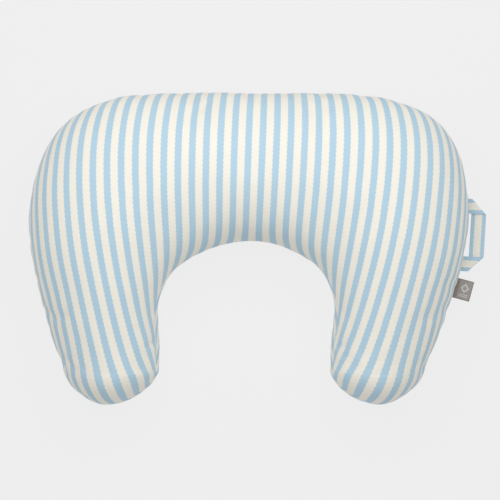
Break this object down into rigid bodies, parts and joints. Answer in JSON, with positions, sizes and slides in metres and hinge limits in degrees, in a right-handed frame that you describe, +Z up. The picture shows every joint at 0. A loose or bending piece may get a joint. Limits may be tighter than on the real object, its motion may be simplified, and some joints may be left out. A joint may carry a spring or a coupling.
{
  "type": "nursing pillow",
  "caption": "C-shaped nursing pillow in a zipped striped cotton cover, with a strap handle and a side label.",
  "frame": {"origin": "on the flat underside, under the middle of the central section, level with what the pillow lies on", "axes": "+Z up from the flat underside, +Y towards the straight back edge with the zip, so the open side faces -Y, and +X towards the leg with the handle"},
  "size_m": [0.5875, 0.3982, 0.165],
  "materials": {
    "ticking": "cream and light blue striped cotton, matt",
    "casing": "plain white, matt",
    "fibre": "white polyester fibre, matt",
    "thread": "ecru sewing thread, satin",
    "tape": "ecru woven tape, matt",
    "coil": "ecru moulded coil, satin",
    "metal": "nickel plated, satin",
    "label": "taupe woven label, matt"
  },
  "bodies": {
    "pillow": {"cover_top_panel": "ticking", "cover_bottom_panel": "ticking", "handle_end_rear": "ticking", "handle_end_front": "ticking", "cover_overlock_thread": "thread", "insert_overlock_thread": "thread", "insert_closing_stitch": "thread", "insert_casing_top": "casing", "insert_casing_bottom": "casing", "insert_law_label": "tape", "fibre_filling": "fibre", "zip_tape_upper": "tape", "zip_tape_lower": "tape", "zip_coil_upper": "coil", "zip_coil_lower": "coil", "zip_bottom_stop": "metal", "zip_top_stop_upper": "metal", "zip_top_stop_lower": "metal", "side_label_sewn_edge": "label"},
    "zip_slider": {"zip_slider": "metal"},
    "zip_pull": {"zip_pull_tab": "metal"},
    "handle": {"carry_handle": "ticking"},
    "label": {"side_label": "label"}
  },
  "joints": [
    {"name": "zip_slide", "type": "slide", "parent": "pillow", "child": "zip_slider", "axis": [-1, 0, 0], "range_m": [0, 0.2108]},
    {"name": "zip_pull_hinge", "type": "hinge", "parent": "zip_slider", "child": "zip_pull", "pos_m": [0.1054, 0.0939, 0.05901], "axis": [0, -0.1576, -0.9875], "range_deg": [0, 180]},
    {"name": "handle_swing", "type": "hinge", "parent": "pillow", "child": "handle", "pos_m": [0.27939, -0.08615, 0.06489], "axis": [-0.0617, -0.9981, 0], "range_deg": [-70, 70]},
    {"name": "label_flap", "type": "hinge", "parent": "pillow", "child": "label", "pos_m": [0.2681, -0.15431, 0.05981], "axis": [-0.2608, -0.9654, 0], "range_deg": [-60, 60]}
  ]
}
